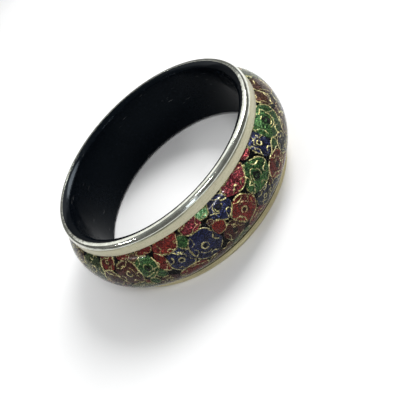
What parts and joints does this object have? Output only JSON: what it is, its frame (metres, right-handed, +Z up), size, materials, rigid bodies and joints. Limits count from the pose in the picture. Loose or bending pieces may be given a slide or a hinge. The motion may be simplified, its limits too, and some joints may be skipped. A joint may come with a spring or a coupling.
{
  "type": "bangle bracelet",
  "caption": "Rigid round bangle bracelet with a black-lined hand opening, pale metal rims and a domed band of roses under a clear coat.",
  "frame": {"origin": "centre of the hand opening, in the plane that the lower rim rests on", "axes": "+Z up along the hoop's axis, from the lower rim to the upper rim; +X and +Y lie in the resting plane"},
  "size_m": [0.0808, 0.0808, 0.0244],
  "materials": {
    "liner_black": "gloss",
    "hidden_metal": "plain",
    "polished_rim": "polished, pale silver-gold plating",
    "satin_flange": "satin, pale gold plating",
    "core_resin": "plain",
    "ground_black": "gloss",
    "rose_picture": "foil flake colours with gold outlines",
    "clear_coat": "clear, high gloss"
  },
  "bodies": {
    "root": {"inner_liner": "liner_black", "metal_band": "hidden_metal", "upper_bead": "polished_rim", "upper_flange": "satin_flange", "lower_flange": "satin_flange", "lower_bead": "polished_rim", "dome_core": "core_resin", "black_ground": "ground_black", "rose_picture": "rose_picture", "clear_dome": "clear_coat"}
  },
  "joints": []
}
